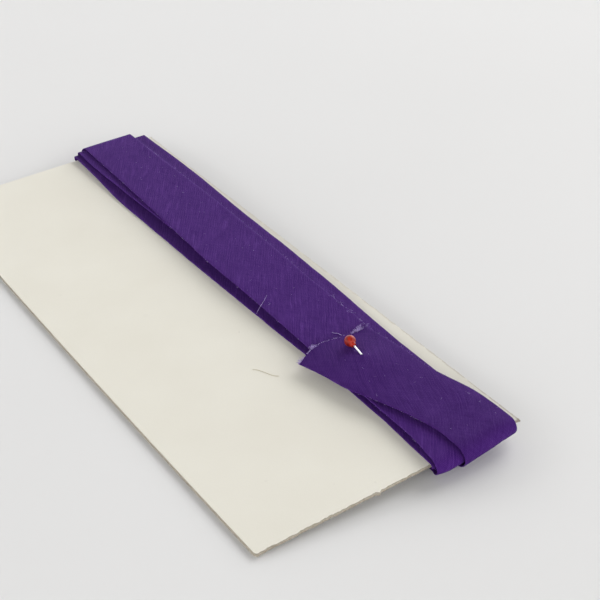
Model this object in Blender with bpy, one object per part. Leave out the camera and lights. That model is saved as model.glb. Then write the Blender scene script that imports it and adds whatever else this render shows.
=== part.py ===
"""Folded bias binding wound lengthwise on a flat card, its loose end held by a ball-headed pin.

Every shape is first worked out as it lies on the card: x runs across the card from its left edge,
y along it from its near end, and z up from its underside. The whole thing is then tipped about the
card's left edge, because the winding under the other side lifts the card off the table.
"""

import math

import bmesh
import bpy
from mathutils import Matrix, Vector

MM = 0.001

# Card
CARD_WIDTH = 100.0 * MM
CARD_LENGTH = 240.0 * MM
CARD_THICKNESS = 1.3 * MM
CARD_BOW = 0.9 * MM  # how far the left edge swells out at its middle
CARD_CORNER = 1.2 * MM  # radius of the worn near-left corner

# Winding
GAP = 0.3 * MM  # between pieces that touch
FAR_SLACK = 1.6 * MM  # between the card's far end and the fold round it
NEAR_SQUEEZE = 0.5  # share of their thickness that the turns keep at the fold's right edge
SQUEEZE_START = 2.8  # place under the card where the squeeze sets in
TURNS_LEFT = 65.0 * MM
TURNS_RIGHT = 90.0 * MM
LOW_DEPTH = 1.5 * MM  # outer face of the lowest turns, from the card's face
MIDDLE_DEPTH = 2.1 * MM
TOP_DEPTH = 2.7 * MM  # outer face of the last turn, from the card's face
UNDER_DEPTH = 3.7 * MM  # the same under the card, where the turns hang slack
FOLD_EDGE = 0.25 * MM  # rounding of a folded edge
SEAM_PLACE = 2.942  # where the last turn runs out under the card and becomes the loose end
FLAT_REACH = 78.0 * MM  # the underside lies flat on the table from its left edge to here

# Loose end
END_THICKNESS = 1.0 * MM
END_UNDER_LENGTH = 13.6 * MM  # what lies under the card
END_FALL = 0.5  # slope at which it drops off a step to its right
END_DROOP = 0.12  # slope at which its free left corner droops
EDGE_PINCH = 0.5  # its thickness at a folded edge, as a share of the rest

# Pin
HEAD_RADIUS = 2.0 * MM
SHANK_RADIUS = 0.3 * MM
SHANK_LENGTH = 27.0 * MM  # from the middle of the head to the tip
POINT_LENGTH = 3.0 * MM
HEAD_PLACE = (75.7 * MM, 58.0 * MM)
HEAD_LIFT = 6.45 * MM  # middle of the head above the card's face
PIN_DIRECTION = (0.02, -1.0)  # seen from above, from the head to the tip
PIN_DIP = math.radians(10.5)
MOUND_HEIGHT = 1.6 * MM  # the loose end stands up over the pin
MOUND_PLACE = (76.4 * MM, 47.4 * MM)
MOUND_SPREAD = (5.0 * MM, 6.5 * MM)

# A place on the loop is 0 to 1 along the top from the near end, 1 to 2 round the far end,
# 2 to 3 back under the card and 3 to 4 round the near end.
# Columns: place, then in mm from the card's left edge the left edges of the low, the middle and
# the top turns, the right edge of the top turns and the right edge of the low turns.
TURN_ROWS = (
    (0.00, 63.3, 63.6, 64.0, 89.6, 91.0),
    (0.03, 64.5, 64.8, 65.2, 89.7, 91.0),
    (0.07, 64.7, 65.2, 65.9, 89.8, 91.2),
    (0.20, 64.6, 65.0, 65.5, 89.6, 92.2),
    (0.36, 63.8, 64.6, 65.1, 89.5, 94.4),
    (0.52, 62.7, 64.3, 65.5, 90.0, 95.4),
    (0.78, 60.7, 64.9, 67.0, 91.0, 95.7),
    (1.00, 63.2, 65.6, 67.2, 90.4, 96.0),
    (2.00, 63.4, 65.4, 67.0, 91.6, 96.0),
    (2.50, 63.8, 65.2, 68.0, 93.0, 95.2),
    (2.80, 64.2, 65.4, 71.0, 95.8, 96.1),
    (3.00, 64.4, 65.4, 72.7, 97.1, 97.4),
)
# The same round the near end, where the last turn has left the winding.
NEAR_ROWS = (
    (2.90, 64.2, 64.8, 65.4, 87.0, 88.0),
    (3.00, 63.6, 63.9, 64.3, 86.5, 87.5),
    (3.50, 62.9, 63.2, 63.6, 88.0, 89.3),
    (4.00, 63.3, 63.6, 64.0, 89.6, 91.0),
)
# The room between the card's near end and the fold round it.
# Columns in mm: distance from the card's left edge and room.
NEAR_SLACK_ROWS = (
    (63.0, 0.5),
    (66.0, 1.1),
    (71.0, 2.0),
    (80.0, 1.7),
    (90.0, 1.3),
)

# The loose end's two edges as it lies on top.
# Columns in mm: left edge's x and y, right edge's x and y.
END_ROWS = (
    (72.7, 0.0, 97.2, 0.0),
    (72.5, 7.0, 97.9, 8.5),
    (71.3, 13.0, 97.0, 17.0),
    (68.9, 22.0, 94.6, 27.0),
    (65.9, 31.0, 91.9, 36.0),
    (63.3, 41.0, 89.7, 46.0),
    (60.2, 52.0, 88.3, 56.5),
    (57.2, 61.5, 87.2, 65.0),
)
# How far its cut end bulges along its length.
# Columns: share of the way across from its left edge, and bulge in mm.
RAW_END_ROWS = (
    (0.00, 0.0),
    (0.18, 1.8),
    (0.38, 2.7),
    (0.60, 1.0),
    (0.72, 0.0),
    (0.85, 0.5),
    (0.96, 1.3),
    (1.00, 0.2),
)
END_FOLD_SLACK = 0.3 * MM  # more than the gap, where it goes round the turns
END_TIGHT_REACH = 0.8 * MM  # of its inner face past the card, where no turns lie inside it
END_UNDER_LEAST = 1.0 * MM  # of its inner face under the card, where no turns lie inside it


def read_rows(rows, column, place):
    """Return a column's value at a place, on a smooth curve through the rows."""
    last = len(rows) - 1
    index = 0
    while index < last - 1 and rows[index + 1][0] < place:
        index += 1
    first = rows[index]
    second = rows[index + 1]
    share = (place - first[0]) / (second[0] - first[0])
    share = min(max(share, 0.0), 1.0)
    before = rows[max(index - 1, 0)]
    after = rows[min(index + 2, last)]
    width = second[0] - first[0]
    slope_in = (second[column] - before[column]) / (second[0] - before[0]) * width
    slope_out = (after[column] - first[column]) / (after[0] - first[0]) * width
    a = first[column]
    b = second[column]
    return (
        a * (2 * share**3 - 3 * share**2 + 1)
        + slope_in * (share**3 - 2 * share**2 + share)
        + b * (3 * share**2 - 2 * share**3)
        + slope_out * (share**3 - share**2)
    )


def mix(a, b, share):
    return a + (b - a) * share


def clamp(value):
    return min(max(value, 0.0), 1.0)


def across_turns(x):
    return clamp((x - TURNS_LEFT) / (TURNS_RIGHT - TURNS_LEFT))


def under_depth(place, x, depth):
    """Return a depth under the card, squeezed towards the near end and the right."""
    along = clamp((place - SQUEEZE_START) / (3.0 - SQUEEZE_START))
    squeeze = 1.0 - (1.0 - NEAR_SQUEEZE) * along * across_turns(x)
    return GAP + (depth - GAP) * squeeze


def near_reach(x, depth):
    """Return how far a face of the turns stands out past the card's near end."""
    squeeze = mix(1.0, NEAR_SQUEEZE, across_turns(x))
    return read_rows(NEAR_SLACK_ROWS, 1, x / MM) * MM + (depth - GAP) * squeeze


def on_fold(turn, x, reach, top, low):
    """Return a point round the near end, at an angle down from the top."""
    middle = (CARD_THICKNESS + top - low) / 2
    half = (CARD_THICKNESS + top + low) / 2
    return Vector((x, -reach * math.sin(turn), middle + half * math.cos(turn)))


def on_loop(place, x, depth):
    """Return the point at a place on the loop, a depth out from the card's surface."""
    if place <= 1.0:
        return Vector((x, place * CARD_LENGTH, CARD_THICKNESS + depth))
    if place < 2.0:
        half = CARD_THICKNESS / 2
        turn = (place - 1.0) * math.pi
        y = CARD_LENGTH + (FAR_SLACK + depth - GAP) * math.sin(turn)
        return Vector((x, y, half + math.cos(turn) * (half + depth)))
    if place <= 3.0:
        return Vector((x, (3.0 - place) * CARD_LENGTH, -under_depth(place, x, depth)))
    turn = (4.0 - place) * math.pi
    return on_fold(turn, x, near_reach(x, depth), depth, under_depth(place, x, depth))


def tip():
    """Return the turn about the card's left edge that lets the winding lie on the table."""
    lean = math.atan2(UNDER_DEPTH, FLAT_REACH)
    return Matrix.Rotation(-lean, 4, "Y")


def skin(bm, rings, closed):
    """Join rings of points into a tube, closed on itself or ended by two caps."""
    loops = [[bm.verts.new(point) for point in ring] for ring in rings]
    count = len(loops[0])
    pairs = list(zip(loops, loops[1:]))
    if closed:
        pairs.append((loops[-1], loops[0]))
    for near, far in pairs:
        for i in range(count):
            j = (i + 1) % count
            bm.faces.new((near[i], near[j], far[j], far[i]))
    if not closed:
        bm.faces.new(loops[0])
        bm.faces.new(loops[-1])


def trim_at_table(bm):
    """Press the underside flat where it would reach below the table."""
    geometry = bm.verts[:] + bm.edges[:] + bm.faces[:]
    cut = bmesh.ops.bisect_plane(
        bm, geom=geometry, dist=1e-7, plane_co=(0, 0, 0), plane_no=(0, 0, -1), clear_outer=True
    )
    rim = [item for item in cut["geom_cut"] if isinstance(item, bmesh.types.BMEdge)]
    bmesh.ops.edgeloop_fill(bm, edges=rim)
    bmesh.ops.dissolve_degenerate(bm, dist=1e-6, edges=bm.edges[:])


def make_object(name, bm, material, smooth_angle=40.0):
    """Turn a finished bmesh into a named object with its material."""
    bmesh.ops.recalc_face_normals(bm, faces=bm.faces[:])
    mesh = bpy.data.meshes.new(name)
    bm.to_mesh(mesh)
    bm.free()
    mesh.shade_smooth()
    mesh.set_sharp_from_angle(angle=math.radians(smooth_angle))
    mesh.materials.append(material)
    piece = bpy.data.objects.new(name, mesh)
    bpy.context.scene.collection.objects.link(piece)
    return piece


def make_material(name, colour, roughness, metallic=0.0):
    material = bpy.data.materials.new(name)
    material.use_nodes = True
    shader = material.node_tree.nodes["Principled BSDF"]
    shader.inputs["Base Color"].default_value = (*colour, 1.0)
    shader.inputs["Roughness"].default_value = roughness
    shader.inputs["Metallic"].default_value = metallic
    return material


def card_outline():
    """Return the card's outline: a bowed left edge, a worn near-left corner, three square ones."""
    points = []
    corner_steps = 4
    for i in range(corner_steps + 1):
        turn = math.radians(180.0 + 90.0 * i / corner_steps)
        x = CARD_CORNER * (1.0 + math.cos(turn))
        points.append((x, CARD_CORNER * (1.0 + math.sin(turn))))
    points += [(CARD_WIDTH, 0.0), (CARD_WIDTH, CARD_LENGTH), (0.0, CARD_LENGTH)]
    bow_steps = 12
    for i in range(1, bow_steps):
        share = 1.0 - i / bow_steps
        y = mix(CARD_CORNER, CARD_LENGTH, share)
        points.append((-CARD_BOW * 4.0 * share * (1.0 - share), y))
    return points


def make_card(material):
    bm = bmesh.new()
    outline = card_outline()
    under = [Vector((x, y, 0.0)) for x, y in outline]
    top = [Vector((x, y, CARD_THICKNESS)) for x, y in outline]
    skin(bm, [under, top], closed=False)
    bm.transform(tip())
    trim_at_table(bm)
    return make_object("card", bm, material)


def winding_section(place, outer):
    """Return one section through the turns, as distances across the card and depths."""
    rows = NEAR_ROWS if place >= SEAM_PLACE else TURN_ROWS
    low_left, middle_left, top_left, top_right, low_right = (
        read_rows(rows, column, place) * MM for column in range(1, 6)
    )
    low = LOW_DEPTH
    middle = MIDDLE_DEPTH
    edge = FOLD_EDGE
    return (
        (low_left, GAP),
        (low_left - edge, (low + GAP) / 2),
        (low_left, low),
        (middle_left, low),
        (middle_left, middle),
        (top_left, middle),
        (top_left - edge, (middle + outer) / 2),
        (top_left, outer),
        (mix(top_left, top_right, 0.35), outer),
        (mix(top_left, top_right, 0.7), outer),
        (top_right, outer),
        (top_right + edge, (middle + outer) / 2),
        (top_right, low),
        (low_right, low),
        (low_right + edge, (low + GAP) / 2),
        (low_right, GAP),
    )


def winding_places():
    """Return the places of the sections with the depth of the outer face at each."""
    places = [(i / 14, TOP_DEPTH) for i in range(15)]
    fold_steps = 8
    for i in range(1, fold_steps):
        share = i / fold_steps
        places.append((1.0 + share, mix(TOP_DEPTH, UNDER_DEPTH, share)))
    for i in range(9):
        places.append((2.0 + 0.9 * i / 8, UNDER_DEPTH))
    places.append((SEAM_PLACE - 0.002, UNDER_DEPTH))
    places.append((SEAM_PLACE, TOP_DEPTH))
    for i in range(fold_steps):
        places.append((3.0 + i / fold_steps, TOP_DEPTH))
    return places


def make_winding(material):
    bm = bmesh.new()
    rings = []
    for place, outer in winding_places():
        rings.append([on_loop(place, x, depth) for x, depth in winding_section(place, outer)])
    skin(bm, rings, closed=True)
    bm.transform(tip())
    trim_at_table(bm)
    return make_object("binding_winding", bm, material)


def step_height(x, left, right, depth):
    """Return how high a sheet lies over a run of turns, falling away past its two sides."""
    past_right = max(x - right - GAP, 0.0)
    past_left = max(left - GAP - x, 0.0)
    return depth + GAP - END_FALL * past_right - END_DROOP * past_left


def end_lift(x, y):
    """Return how high the loose end's inner face lies above the card's face."""
    place = clamp(y / CARD_LENGTH)
    top_left, top_right, low_right = (
        read_rows(TURN_ROWS, column, place) * MM for column in (3, 4, 5)
    )
    over_top = step_height(x, top_left, top_right, TOP_DEPTH)
    over_low = step_height(x, top_left, low_right, LOW_DEPTH)
    away = ((x - MOUND_PLACE[0]) / MOUND_SPREAD[0]) ** 2 + ((y - MOUND_PLACE[1]) / MOUND_SPREAD[1]) ** 2
    mound = MOUND_HEIGHT * math.exp(-away)
    return max(over_top, over_low, 2 * GAP) + mound


def end_under(x, y):
    """Return how far the loose end's inner face hangs below the card's underside."""
    place = 3.0 - y / CARD_LENGTH
    top_left, top_right, low_right = (
        read_rows(NEAR_ROWS, column, place) * MM for column in (3, 4, 5)
    )
    over_top = step_height(x, top_left, top_right, under_depth(place, x, TOP_DEPTH))
    over_low = step_height(x, top_left, low_right, under_depth(place, x, LOW_DEPTH))
    return max(over_top, over_low, END_UNDER_LEAST)


def end_reach(x):
    """Return how far the loose end's inner face stands out past the card's near end."""
    right = NEAR_ROWS[-1][5] * MM + GAP
    past_right = max(x - right, 0.0)
    over_turns = near_reach(x, TOP_DEPTH) + GAP + END_FOLD_SLACK
    return max(over_turns - END_FALL * past_right, END_TIGHT_REACH)


def end_ring(inner, outer):
    """Return a closed section of the loose end from its inner and outer points, left to right."""
    inner = [point.copy() for point in inner]
    outer = [point.copy() for point in outer]
    for i in (0, -1):
        middle = (inner[i] + outer[i]) / 2
        inner[i] = middle + (inner[i] - middle) * EDGE_PINCH
        outer[i] = middle + (outer[i] - middle) * EDGE_PINCH
    return inner + outer[::-1]


def end_top_points(row, across):
    """Return the inner and outer points of the loose end at a row of its top run."""
    rows = [(float(i), *values) for i, values in enumerate(END_ROWS)]
    left_x, left_y, right_x, right_y = (read_rows(rows, column, row) * MM for column in range(1, 5))
    raw = max(row - (len(END_ROWS) - 2), 0.0) ** 2
    inner = []
    outer = []
    for share in across:
        x = mix(left_x, right_x, share)
        y = mix(left_y, right_y, share) + raw * read_rows(RAW_END_ROWS, 1, share) * MM
        z = CARD_THICKNESS + end_lift(x, y)
        inner.append(Vector((x, y, z)))
        outer.append(Vector((x, y, z + END_THICKNESS)))
    return inner, outer


def end_x(share):
    return mix(END_ROWS[0][0], END_ROWS[0][2], share) * MM


def end_fold_points(turn, across, grow):
    """Return a line of points of the loose end round the near end."""
    points = []
    for x in map(end_x, across):
        top = end_lift(x, 0.0) + grow
        low = end_under(x, 0.0) + grow
        points.append(on_fold(turn, x, end_reach(x) + grow, top, low))
    return points


def end_under_points(y, across, grow):
    """Return a line of points of the loose end under the card."""
    return [Vector((x, y, -end_under(x, y) - grow)) for x in map(end_x, across)]


def make_end(material):
    """Make the loose end: from under the card, round its near end and slantwise over the turns."""
    bm = bmesh.new()
    across = (0.0, 0.03, 0.1, 0.18, 0.28, 0.38, 0.5, 0.6, 0.7, 0.78, 0.86, 0.93, 0.97, 1.0)
    rings = []
    for y in (END_UNDER_LENGTH, END_UNDER_LENGTH / 2):
        inner = end_under_points(y, across, 0.0)
        outer = end_under_points(y, across, END_THICKNESS)
        rings.append(end_ring(inner, outer))
    fold_steps = 10
    for i in range(fold_steps):
        turn = math.pi * (1.0 - i / fold_steps)
        inner = end_fold_points(turn, across, 0.0)
        outer = end_fold_points(turn, across, END_THICKNESS)
        rings.append(end_ring(inner, outer))
    steps_a_row = 4
    for i in range(steps_a_row * (len(END_ROWS) - 1) + 1):
        rings.append(end_ring(*end_top_points(i / steps_a_row, across)))
    skin(bm, rings, closed=False)
    bm.transform(tip())
    trim_at_table(bm)
    return make_object("binding_end", bm, material)


def pin_frame():
    """Return the pin's placing: its origin in the middle of the head, its z axis to the tip."""
    flat = Vector((*PIN_DIRECTION, 0.0)).normalized()
    along = flat * math.cos(PIN_DIP) + Vector((0.0, 0.0, -math.sin(PIN_DIP)))
    turn = along.to_track_quat("Z", "Y").to_matrix().to_4x4()
    middle = Vector((*HEAD_PLACE, CARD_THICKNESS + HEAD_LIFT))
    return tip() @ Matrix.Translation(middle) @ turn


def turned(name, profile, steps, material):
    """Turn a profile of radii and heights about z and place it as part of the pin."""
    bm = bmesh.new()
    rows = []
    for radius, height in profile:
        if radius == 0.0:
            rows.append([bm.verts.new((0.0, 0.0, height))])
            continue
        row = []
        for i in range(steps):
            angle = math.tau * i / steps
            row.append(bm.verts.new((radius * math.cos(angle), radius * math.sin(angle), height)))
        rows.append(row)
    for low, high in zip(rows, rows[1:]):
        for i in range(steps):
            j = (i + 1) % steps
            corners = (low[i % len(low)], low[j % len(low)], high[j % len(high)], high[i % len(high)])
            bm.faces.new(tuple(dict.fromkeys(corners)))
    bm.transform(pin_frame())
    return make_object(name, bm, material)


def make_pin_head(material):
    """Make the ball, with a short neck and a blind hole for the shank."""
    neck_radius = SHANK_RADIUS + 2.0 * GAP
    neck_end = HEAD_RADIUS * 1.22
    hole_end = -HEAD_RADIUS * 0.3
    ball_steps = 12
    ball_turn = math.radians(140.0)
    profile = []
    for i in range(ball_steps + 1):
        turn = ball_turn * i / ball_steps
        profile.append((HEAD_RADIUS * math.sin(turn), -HEAD_RADIUS * math.cos(turn)))
    profile[0] = (0.0, -HEAD_RADIUS)
    profile.append((neck_radius, neck_end))
    profile.append((SHANK_RADIUS + GAP, neck_end))
    profile.append((SHANK_RADIUS + GAP, hole_end))
    profile.append((0.0, hole_end))
    return turned("pin_head", profile, 24, material)


def make_pin_shank(material):
    start = -HEAD_RADIUS * 0.3 + GAP
    profile = (
        (0.0, start),
        (SHANK_RADIUS, start),
        (SHANK_RADIUS, SHANK_LENGTH - POINT_LENGTH),
        (0.0, SHANK_LENGTH),
    )
    return turned("pin_shank", profile, 12, material)


def pierce(piece, material):
    """Cut the way of the pin through a piece of the binding, a little wider than the shank."""
    radius = SHANK_RADIUS + GAP
    profile = ((0.0, 0.0), (radius, 0.0), (radius, SHANK_LENGTH + GAP), (0.0, SHANK_LENGTH + GAP))
    cutter = turned(f"{piece.name}_pin_way", profile, 12, material)
    cutter.hide_render = True
    cutter.display_type = "WIRE"
    cut = piece.modifiers.new("pin way", "BOOLEAN")
    cut.operation = "DIFFERENCE"
    cut.solver = "EXACT"
    cut.object = cutter
    return cutter


def centre_over_origin(pieces):
    """Hang everything on an empty so that the middle of its footprint is at the origin."""
    corners = [vertex.co for piece in pieces if not piece.hide_render for vertex in piece.data.vertices]
    middle_x = (min(c.x for c in corners) + max(c.x for c in corners)) / 2
    middle_y = (min(c.y for c in corners) + max(c.y for c in corners)) / 2
    base = bpy.data.objects.new("table_point", None)
    base.location = (-middle_x, -middle_y, 0.0)
    bpy.context.scene.collection.objects.link(base)
    for piece in pieces:
        piece.parent = base


def main():
    for old in list(bpy.data.objects):
        bpy.data.objects.remove(old, do_unlink=True)
    board = make_material("cream card", (0.77, 0.75, 0.66), 0.9)
    cotton = make_material("purple cotton", (0.075, 0.024, 0.16), 0.85)
    steel = make_material("nickelled steel", (0.75, 0.75, 0.74), 0.22, 1.0)
    plastic = make_material("red ball plastic", (0.55, 0.02, 0.005), 0.25)
    winding = make_winding(cotton)
    end = make_end(cotton)
    pieces = [make_card(board), winding, end, make_pin_head(plastic), make_pin_shank(steel)]
    pieces += [pierce(winding, cotton), pierce(end, cotton)]
    centre_over_origin(pieces)


main()
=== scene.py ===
"""Folded bias binding wound on a cream card, its loose end held by a ball-headed pin.

Shapes are worked out as they lie on the card: x runs across it from its left edge, y along it from
its near end, and z up from its underside. The finished meshes are then tipped about the card's left
edge, because the winding lifts the other side off the table, and moved to the frame's place.
"""

import math
import random

import bmesh
import bpy
from mathutils import Matrix, Vector, noise


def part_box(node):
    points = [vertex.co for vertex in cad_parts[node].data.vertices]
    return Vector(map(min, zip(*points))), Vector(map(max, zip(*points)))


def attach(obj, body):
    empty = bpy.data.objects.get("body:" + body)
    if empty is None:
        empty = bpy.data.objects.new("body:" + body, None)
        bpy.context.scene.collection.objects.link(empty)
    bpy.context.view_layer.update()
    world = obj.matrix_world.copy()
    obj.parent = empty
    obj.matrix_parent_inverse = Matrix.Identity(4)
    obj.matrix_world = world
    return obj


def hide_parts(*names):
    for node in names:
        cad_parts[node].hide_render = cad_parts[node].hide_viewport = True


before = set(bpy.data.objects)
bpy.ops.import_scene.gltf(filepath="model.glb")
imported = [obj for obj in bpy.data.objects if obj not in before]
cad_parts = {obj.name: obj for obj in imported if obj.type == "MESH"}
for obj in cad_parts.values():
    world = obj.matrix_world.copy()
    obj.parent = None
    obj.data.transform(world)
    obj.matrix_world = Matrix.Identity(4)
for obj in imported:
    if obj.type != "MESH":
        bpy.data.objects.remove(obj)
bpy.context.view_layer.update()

MM = 0.001
SEED = 4

# Card
CARD_WIDTH = 100.0 * MM
CARD_LENGTH = 240.0 * MM
CARD_THICKNESS = 1.3 * MM
CARD_BOW = 0.9 * MM
CARD_CORNER = 1.2 * MM
ROUGHNESS_NEAR = 0.48 * MM  # how far the cut near edge wanders
ROUGHNESS_RIGHT = 0.35 * MM  # the same along the torn right edge
TORN_LEDGE = 0.75 * MM  # how far the lower plies stand out under the torn right edge
LEDGE_LENGTH = 150.0 * MM  # from the near end to where they stand out least
BURR_PLACE = 43.6 * MM  # along the near edge, from the card's left edge
BURR_WIDTH = 0.6 * MM
BURR_LENGTH = 0.85 * MM

# Winding
GAP = 0.3 * MM
TAPE_WIDTH = 25.0 * MM
TAPE_THICKNESS = 0.42 * MM
FAR_SLACK = 2.1 * MM
NEAR_SQUEEZE = 0.5  # share of the turns' depth that is left at their right side
SQUEEZE_LENGTH = 48.0 * MM  # of the turns under the card, from its near end
TURNS_LEFT = 65.0 * MM
TURNS_RIGHT = 90.0 * MM
UNDER_DEPTH = 3.7 * MM  # of the turns under the card, where they start to lie flat on the table
FLAT_REACH = 78.0 * MM  # from the card's left edge to there
FOLD_LENGTH = 9.0 * MM  # of tape in a fold round an end of the card
TOP_DEPTHS = (0.12, 1.26, 1.78, 2.28)  # mm from the card's face to each turn's inner face
UNDER_DEPTHS = (0.3, 1.25, 2.2, 3.28)  # the same under the card
SPILLED_TURN = 2  # this turn's right side has nothing under it and sinks to the card
SPILL_START = 89.0 * MM
SPILL_WIDTH = 3.0 * MM
SPILL_FALL = (0.25 * MM, 1.5 * MM)  # along the winding and at its far end
UPPER_LIFT = 1.0 * MM  # the turns above the first were wound slack and stand clear of it
LIFT_START = 60.0 * MM
LIFT_LENGTH = 60.0 * MM
FAR_RISE = 1.2 * MM  # how far all the turns stand up round the far end
RISE_START = 185.0 * MM
NEAR_ROOM = 0.9 * MM  # between the card's near end and the turns, at their left
ROOM_RISE = 1.2 * MM  # how much wider that gets, and from where
ROOM_RISE_START = 62.0 * MM
ROOM_RISE_WIDTH = 6.0 * MM
ROOM_FALL = 0.7 * MM  # how much narrower again, and from where
ROOM_FALL_START = 72.0 * MM
ROOM_FALL_WIDTH = 18.0 * MM
TIGHT_TOP = CARD_THICKNESS + TOP_DEPTHS[3] * MM + TAPE_THICKNESS  # of the last turn, without slack
LAST_TURN = 12.0  # where the last turn's top run starts in the rows below

# The tape's two edges along its whole length. A whole number of fours is the near end of a turn's
# top run, then come 1 to 2 round the far end, 2 to 3 under the card and 3 to 4 round the near end.
# Columns: way along the tape, then its left and right edges in mm from the card's left edge.
TAPE_ROWS = (
    (-0.50, 63.0, 88.0),
    (0.00, 63.2, 88.2),
    (0.03, 63.4, 88.4),
    (0.06, 63.8, 88.8),
    (0.10, 64.2, 89.2),
    (0.20, 64.2, 89.2),
    (0.36, 63.1, 88.1),
    (0.52, 62.1, 87.1),
    (0.61, 61.7, 86.7),
    (0.75, 61.3, 86.3),
    (0.82, 61.0, 86.0),
    (0.86, 61.3, 86.3),
    (0.90, 61.8, 86.8),
    (0.95, 62.1, 87.1),
    (1.00, 62.4, 87.4),
    (2.00, 63.4, 88.4),
    (3.00, 65.0, 89.6),
    (3.50, 65.2, 89.6),
    (4.00, 65.6, 89.8),
    (4.03, 66.0, 89.9),
    (4.20, 66.2, 89.9),
    (4.36, 66.0, 89.6),
    (4.52, 66.2, 90.2),
    (4.64, 66.5, 90.4),
    (4.72, 65.9, 90.0),
    (4.80, 65.2, 89.8),
    (4.87, 64.7, 89.6),
    (4.94, 64.3, 89.4),
    (5.00, 64.7, 89.6),
    (6.00, 65.4, 90.2),
    (7.00, 64.9, 89.9),
    (7.50, 65.4, 90.4),
    (8.00, 66.0, 91.0),
    (8.13, 66.9, 92.6),
    (8.20, 67.0, 92.7),
    (8.29, 67.9, 93.4),
    (8.38, 69.1, 94.2),
    (8.45, 69.4, 94.4),
    (8.52, 69.8, 94.8),
    (8.65, 70.1, 95.1),
    (8.78, 70.5, 96.0),
    (8.90, 70.6, 96.6),
    (9.00, 70.6, 96.5),
    (10.00, 71.0, 96.4),
    (10.60, 68.5, 93.4),
    (11.00, 64.3, 88.6),
    (11.50, 63.2, 88.2),
    (11.80, 63.1, 88.6),
    (12.00, 63.4, 89.4),
    (12.03, 64.4, 89.6),
    (12.06, 64.8, 89.6),
    (12.09, 64.9, 89.2),
    (12.20, 65.0, 88.4),
    (12.32, 65.1, 89.3),
    (12.43, 65.0, 89.1),
    (12.55, 64.6, 90.1),
    (12.64, 65.4, 90.5),
    (12.73, 66.3, 90.8),
    (12.82, 67.0, 90.4),
    (12.92, 67.6, 90.2),
    (13.00, 67.8, 90.2),
    (14.00, 67.0, 91.6),
    (14.50, 68.0, 93.0),
    (14.80, 71.0, 95.8),
    (14.94, 72.3, 96.8),
)

# Loose end
CLOTH = 0.2 * MM  # one layer of the cotton
PLY_ROOM = 0.1 * MM  # between the face of the tape and its turned-in sides
END_THICKNESS = 2 * CLOTH + PLY_ROOM
SIDES_GAP = 0.012  # from the middle to each turned-in side, as a share of the way across
END_LIFT = 0.5 * MM  # it lies this far clear of the turns
END_UNDER_LENGTH = 13.6 * MM
END_FOLD_LENGTH = 13.0 * MM
END_ROW_LENGTH = 9.3 * MM  # of tape from one of the rows below to the next
END_FALL = 0.15  # slope past the right side of the turns under it
FALL_INSET = 1.5 * MM  # it starts to fall this far inside that side
FALL_WIDTH = 3.0 * MM
END_DROOP = 0.12  # slope past their left side
END_SWELL = 0.22 * MM
END_SOFTNESS = 0.8 * MM  # how gently it passes from one level to the next
END_STAND_OFF = 0.4 * MM  # round the near end
REACH_RIGHT = 91.3 * MM  # past here it stands out less round the near end
LEAST_REACH = 1.2 * MM
LEAST_HANG = 1.4 * MM  # below the card's underside
TABLE_ROOM = 0.02 * MM
UNDER_RIGHT = (86.8 * MM, 88.0 * MM)  # right side of the turns under the card, at the near end and
UNDER_RIGHT_LENGTH = 20.0 * MM  # this far from it
CUT_WANDER = 0.35 * MM  # how far the cut end wanders
MOUND_HEIGHT = 1.5 * MM
MOUND_PLACE = (76.0 * MM, 47.5 * MM)
MOUND_SPREAD = (9.5 * MM, 12.6 * MM)
PUCKER_HEIGHT = 0.55 * MM  # where the pin goes into the cloth
PUCKER_PLACE = (75.2 * MM, 49.9 * MM)
PUCKER_SPREAD = (1.9 * MM, 0.95 * MM)
# Columns in mm: left edge's x and y, right edge's x and y.
END_ROWS = (
    (72.7, 0.0, 95.6, 0.0),
    (72.5, 7.0, 95.6, 8.5),
    (71.3, 13.0, 94.9, 17.0),
    (68.9, 22.0, 92.2, 27.0),
    (65.7, 31.0, 90.2, 36.0),
    (61.9, 41.0, 89.7, 46.0),
    (59.7, 52.0, 88.5, 56.5),
    (57.2, 61.5, 87.2, 65.0),
)
END_LAST = float(len(END_ROWS) - 1)
# Columns: share of the way across from its left edge, and bulge of the cut end in mm.
RAW_END_ROWS = (
    (0.00, 0.0),
    (0.18, 1.8),
    (0.38, 2.7),
    (0.60, 1.0),
    (0.72, -0.3),
    (0.85, -1.0),
    (0.96, -0.6),
    (1.00, -0.5),
)
# Where the turns that the loose end lies on begin and end, from left to right.
# Columns: place along the card's top as a share of its length, then left edge and right edge of the
# uppermost turn and right edge of the turn that shows beside it, in mm.
BED_ROWS = (
    (0.00, 64.0, 89.6, 91.0),
    (0.07, 64.8, 89.6, 91.4),
    (0.20, 65.0, 89.2, 92.0),
    (0.36, 64.8, 89.3, 94.0),
)

# The cut's loose threads in clumps. Columns: from and to as shares of the way across, how many,
# and the longest in mm.
FRAY_CLUMPS = (
    (0.00, 0.05, 30, 1.1),
    (0.05, 0.24, 24, 0.7),
    (0.25, 0.31, 46, 1.3),
    (0.32, 0.62, 60, 0.5),
    (0.62, 0.76, 12, 0.5),
    (0.76, 0.86, 16, 1.2),
    (0.85, 0.95, 44, 1.6),
)

# Pin
HEAD_RADIUS = 2.0 * MM
BALL_TURN = math.radians(146.0)  # of the ball's outline, from its far side to its neck
SHANK_RADIUS = 0.3 * MM
SHANK_LENGTH = 27.0 * MM
POINT_LENGTH = 3.0 * MM
HEAD_PLACE = (75.7 * MM, 58.0 * MM)
HEAD_LIFT = 6.45 * MM
PIN_DIRECTION = (-0.05, -1.0)
PIN_DIP = math.radians(10.5)


def mix(a, b, share):
    return a + (b - a) * share


def clamp(value):
    """Return a number, or a node's output, held between 0 and 1."""
    if isinstance(value, Formula):
        return work_out("ADD", value, 0.0, held=True)
    return min(max(value, 0.0), 1.0)


def eased(value):
    value = clamp(value)
    return value * value * (3.0 - 2.0 * value)


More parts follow.
